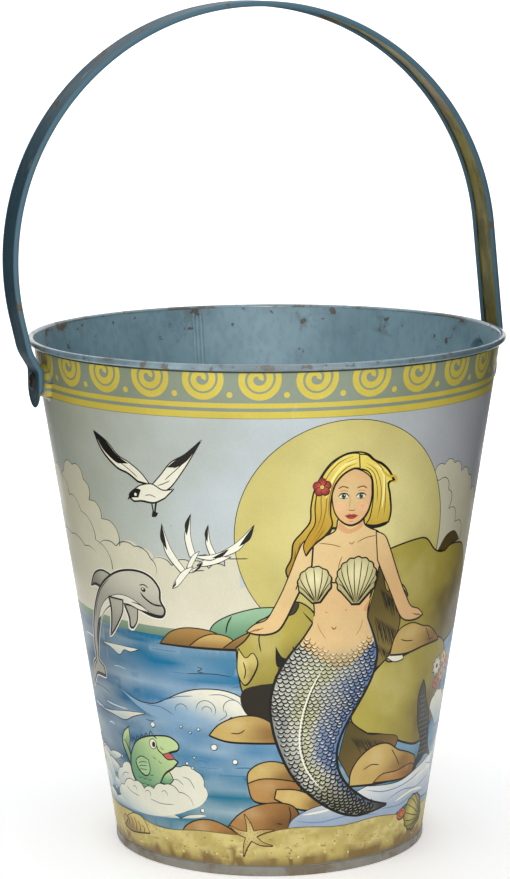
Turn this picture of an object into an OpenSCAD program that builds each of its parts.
// Sand bucket: a tapered tinplate pail with a curled rim, a double-seamed bottom,
// a lock seam up its back, and a channel-strip bail that swings on two shouldered rivets.
// Millimetres. The origin is the centre of the rest face, +Z is up, the bail swings about X,
// and the lock seam is at +Y.

/* [Body] */
// Diameter over the curled rim
rim_d = 240; // [210:1:270]
// Height from the rest face to the top of the rim
body_h = 258.8; // [225:1:290]
// Outside diameter of the cone where it would meet the floor
base_d = 156; // [136:1:176]
// Thickness of the tinplate
sheet_t = 0.5; // [0.4:0.05:0.6]
// Diameter of the rolled rim
curl_d = 3.4; // [3:0.1:4.4]

/* [Bottom] */
// Height of the double seam round the base
seam_ring_h = 5; // [4:0.5:8]
// How far the middle of the floor pan is raised
pan_step = 1.2; // [0.8:0.1:2]

/* [Lock seam] */
// Width of the folded side seam
lock_seam_w = 6; // [4:0.5:9]
// How far the folded seam stands into the bucket
lock_seam_t = 0.9; // [0.6:0.1:1.4]

/* [Pivot] */
// Distance of the pivot below the top of the rim
pivot_drop = 18.6; // [17:0.1:22]
// Diameter of the pressed boss at its face
boss_d = 14; // [12:0.5:16]
// Diameter of the hole in the bail end
bail_hole_d = 5.3; // [5:0.1:6]
// Radial clearance of the rivet in the bail end
pivot_gap = 0.06; // [0.02:0.01:0.09]
// Diameter of the domed rivet head
rivet_head_d = 9; // [8:0.1:11]

/* [Bail] */
// Width of the channel strip
strip_w = 23.4; // [20:0.2:24]
// Thickness of the strip's web
strip_t = 0.7; // [0.5:0.05:0.9]
// Depth of the channel over its rolled edges
flange_h = 2.8; // [2.4:0.1:2.9]
// Outside radius of the arch
arch_r = 126; // [124:0.5:140]
// Height of the arch's centre above the rim
arch_rise = 38.5; // [20:0.5:60]
// How far the arch has been pushed to one side
bail_sway = 6.5; // [5:0.5:8]

/* [Hidden] */
$fn = 96;

// Body sizes worked out from the ones above
rim_r = rim_d / 2;
base_r = base_d / 2;
curl_r = curl_d / 2;
curl_axis_r = rim_r - curl_r;
curl_axis_z = body_h - curl_r;
wall_top_r = curl_axis_r - curl_r + sheet_t + 0.05;
wall_slope = (wall_top_r - base_r) / curl_axis_z;
wall_tilt = atan(wall_slope);
curl_void_r = curl_r - sheet_t - 0.1;
neck_top_z = seam_ring_h + 1.6;
neck_r = base_r + wall_slope * neck_top_z - 0.6;
seam_ring_r = neck_r + sheet_t;
pan_z = seam_ring_h - 0.4;

// Pivot sizes: distances along X are taken from the bucket's axis
pivot_z = body_h - pivot_drop;
boss_face_x = rim_r - 1.9;
tab_face_x = rim_r + 0.9;
tab_back_x = tab_face_x - strip_t;
shoulder_d = 8;
wall_shank_d = 4.2;
washer_d = 10.5;
washer_t = 0.8;
side_gap = 0.1;

// Bail sizes: heights are above the floor
edge_t = 1.1;
arch_z = body_h + arch_rise;
left_turn = 12.5;
right_turn = 5.6;
joggle_top_z = body_h - 4.5;
joggle_low_z = body_h - 13.2;
tuck = 0.05;
tab_end_z = pivot_z - 1.4;
flange_end_z = pivot_z - 8;

function wall_r(z) = base_r + wall_slope * z;

// ---- the bucket's sheet ----

module wall_outline() {
    // The cone, drawn in at its foot to sit inside the double seam
    polygon([
        [neck_r - sheet_t, sheet_t],
        [neck_r, sheet_t],
        [neck_r, seam_ring_h],
        [wall_r(neck_top_z), neck_top_z],
        [wall_top_r, curl_axis_z],
        [wall_top_r - sheet_t, curl_axis_z],
        [wall_r(neck_top_z) - sheet_t, neck_top_z + 0.1],
        [neck_r - sheet_t, seam_ring_h + 0.1],
    ]);
}

module wall_with_curl_outline() {
    difference() {
        union() {
            wall_outline();
            translate([curl_axis_r, curl_axis_z])
                circle(curl_r);
        }
        translate([curl_axis_r, curl_axis_z])
            circle(curl_void_r);
    }
}

module boss_shape(shrink) {
    // A pressed boss, flat on its face and a little wider where it leaves the wall
    translate([boss_face_x - 8 - shrink, 0, pivot_z])
        rotate([0, 90, 0])
            cylinder(h = 8, r1 = boss_d / 2 + 3 - shrink, r2 = boss_d / 2 - shrink);
}

module inside_of_bucket() {
    // Only the stretch of the hollow that the bosses and their holes cross
    low = pivot_z - 16;
    translate([0, 0, low])
        cylinder(h = 26, r1 = wall_r(low) - sheet_t, r2 = wall_r(low + 26) - sheet_t);
}

module boss_pair() {
    for (side = [0, 180])
        rotate([0, 0, side])
            difference() {
                boss_shape(0);
                boss_shape(sheet_t);
                inside_of_bucket();
                pivot_bore(wall_shank_d);
            }
}

module pivot_bore(d) {
    translate([boss_face_x - 20, 0, pivot_z])
        rotate([0, 90, 0])
            cylinder(h = 40, d = d);
}

module lock_seam() {
    // The folded seam up the back, a flat strip that follows the wall
    low = neck_top_z + 1;
    high = body_h - curl_d - 1;
    translate([0, wall_r(low) - sheet_t, low])
        rotate([-wall_tilt, 0, 0])
            translate([-lock_seam_w / 2, -lock_seam_t, 0])
                cube([lock_seam_w, lock_seam_t + sheet_t / 2, (high - low) / cos(wall_tilt)]);
}

module bucket_wall() {
    color([0.62, 0.68, 0.68]) {
        difference() {
            // Turned, so that the revolve starts and ends well away from the bosses and the seam
            rotate([0, 0, 45])
                rotate_extrude()
                    wall_with_curl_outline();
            // The boss mouths open into the bucket
            for (side = [0, 180])
                rotate([0, 0, side])
                    boss_shape(sheet_t);
        }
        boss_pair();
        lock_seam();
    }
}

module rim_wire() {
    // The steel wire that the rim is rolled round
    color([0.55, 0.56, 0.57])
        translate([0, 0, curl_axis_z])
            rotate_extrude()
                translate([curl_axis_r, 0])
                    circle(curl_void_r - 0.05);
}

// ---- the floor of the bucket ----

module pan_outline() {
    inner_r = neck_r - 2 * sheet_t;
    step_r = inner_r - 8;
    polygon([
        [0, pan_z + pan_step],
        [step_r - pan_step, pan_z + pan_step],
        [step_r, pan_z],
        [inner_r - 1.4, pan_z],
        [inner_r - 0.5, pan_z - 0.8],
        [inner_r, 0.3],
        [inner_r + 0.3, 0],
        [seam_ring_r - 0.3, 0],
        [seam_ring_r, 0.3],
        [seam_ring_r, seam_ring_h - 0.3],
        [seam_ring_r - 0.3, seam_ring_h],
        [neck_r, seam_ring_h],
        [neck_r, sheet_t],
        [neck_r - sheet_t, sheet_t],
        [neck_r - sheet_t, pan_z - 0.2],
        [inner_r - 1.1, pan_z + sheet_t],
        [step_r + 0.3, pan_z + sheet_t],
        [step_r - pan_step + 0.3, pan_z + pan_step + sheet_t],
        [0, pan_z + pan_step + sheet_t],
    ]);
}

module bottom_pan() {
    // A pressed disc hooked round the foot of the wall; the bucket stands on its ring
    color([0.45, 0.45, 0.44])
        rotate_extrude()
            pan_outline();
}

// ---- the bail ----
// The strip is a web with a rolled edge along each side. Both are drawn as bands in the bail's
// own plane, x across and z up, and extruded across the strip's width.

function inward(from, to) =
    // Unit vector at right angles to a run, pointing to the bucket's side of a leg drawn at +X
    let (d = to - from, l = norm(d))
    [d[1] / l, -d[0] / l];

function mitre(before, at, after, depth) =
    // Where the inner side of a band turns its corner
    let (a = inward(before, at), b = inward(at, after))
    at + depth * (a + b) / (1 + a * b);

module arch_band(depth) {
    reach = 2 * arch_r;
    translate([-bail_sway, arch_z])
        difference() {
            circle(arch_r);
            circle(arch_r - depth);
            polygon([
                [0, 0],
                [reach * cos(right_turn), reach * sin(right_turn)],
                [reach, -reach],
                [-reach, -reach],
                [-reach * cos(left_turn), -reach * sin(left_turn)],
            ]);
        }
}

module leg_band(start, lean, end_z, depth) {
    // From the arch down the straight run, in over the joggle and down the tab, drawn at +X.
    // Its top is tucked into the arch, just inside both of the arch's faces.
    knee = start + (start[1] - joggle_top_z) * [tan(lean), -1];
    top = start + [-tuck, 0] + 0.6 * (start - knee) / norm(start - knee);
    foot = [tab_face_x, joggle_low_z];
    low = [tab_face_x, end_z];
    polygon([
        top,
        knee,
        foot,
        low,
        low - [depth, 0],
        mitre(knee, foot, low, depth),
        mitre(top, knee, foot, depth),
        top + (depth - 2 * tuck) * inward(top, knee),
    ]);
}

module across(width) {
    // Stands a drawing up in the XZ plane and gives it a width along Y
    rotate([90, 0, 0])
        linear_extrude(height = width, center = true)
            children();
}

module both_edges() {
    for (side = [-1, 1])
        translate([0, side * (strip_w - edge_t) / 2, 0])
            across(edge_t)
                children();
}

module tab() {
    // The flat end: square at the top, round at the tip, with the pivot hole
    translate([tab_back_x, 0, 0])
        rotate([90, 0, 90])
            linear_extrude(height = strip_t)
                difference() {
                    union() {
                        translate([-strip_w / 2, tab_end_z])
                            square([strip_w, joggle_low_z - 0.4 - tab_end_z]);
                        translate([0, tab_end_z])
                            circle(strip_w / 2 - tuck);
                    }
                    translate([0, pivot_z])
                        circle(bail_hole_d / 2);
                }
}

// Where the arch hands over to each leg, as seen with that leg on the +X side
left_start = [arch_r * cos(left_turn) + bail_sway, arch_z - arch_r * sin(left_turn)];
right_start = [arch_r * cos(right_turn) - bail_sway, arch_z + arch_r * sin(right_turn)];

module leg(start, lean) {
    across(strip_w - 2 * edge_t)
        leg_band(start, lean, joggle_low_z - 1, strip_t);
    both_edges()
        leg_band(start, lean, flange_end_z, flange_h);
    tab();
}

module bail_handle() {
    color([0.26, 0.36, 0.42]) {
        across(strip_w - 2 * edge_t)
            arch_band(strip_t);
        both_edges()
            arch_band(flange_h);
        leg(right_start, right_turn);
        rotate([0, 0, 180])
            leg(left_start, -left_turn);
    }
}

// ---- rivets ----

module rivet() {
    // Drawn on the +X side: domed head, shank in the bail end, shoulder against the boss,
    // thinner shank through the wall and a set head inside
    head_base_x = tab_face_x + side_gap;
    shoulder_end_x = tab_back_x - side_gap;
    inner_x = boss_face_x - sheet_t - washer_t;
    translate([0, 0, pivot_z])
        rotate([0, 90, 0])
            rotate_extrude()
                polygon([
                    [0, inner_x - 1.2],
                    [wall_shank_d / 2 + 0.7, inner_x - 1.2],
                    [wall_shank_d / 2 + 1.2, inner_x - 0.7],
                    [wall_shank_d / 2 + 1.2, inner_x],
                    [wall_shank_d / 2, inner_x],
                    [wall_shank_d / 2, boss_face_x],
                    [shoulder_d / 2, boss_face_x],
                    [shoulder_d / 2, shoulder_end_x],
                    [bail_hole_d / 2 - pivot_gap, shoulder_end_x],
                    [bail_hole_d / 2 - pivot_gap, head_base_x],
                    [rivet_head_d / 2, head_base_x],
                    [rivet_head_d / 2, head_base_x + 0.5],
                    [rivet_head_d / 2 - 0.9, head_base_x + 1.3],
                    [rivet_head_d / 2 - 2.2, head_base_x + 1.8],
                    [1.5, head_base_x + 1.9],
                    [1.2, head_base_x + 0.8],
                    [0, head_base_x + 0.6],
                ]);
}

module rivet_right() {
    color([0.35, 0.34, 0.33])
        rivet();
}

module rivet_left() {
    color([0.35, 0.34, 0.33])
        rotate([0, 0, 180])
            rivet();
}

module washer() {
    translate([boss_face_x - sheet_t - washer_t, 0, pivot_z])
        rotate([0, 90, 0])
            difference() {
                cylinder(h = washer_t, d = washer_d);
                translate([0, 0, -1])
                    cylinder(h = washer_t + 2, d = wall_shank_d);
            }
}

module rivet_washer_right() {
    color([0.5, 0.5, 0.49])
        washer();
}

module rivet_washer_left() {
    color([0.5, 0.5, 0.49])
        rotate([0, 0, 180])
            washer();
}

bucket_wall();
rim_wire();
bottom_pan();
bail_handle();
rivet_left();
rivet_right();
rivet_washer_left();
rivet_washer_right();
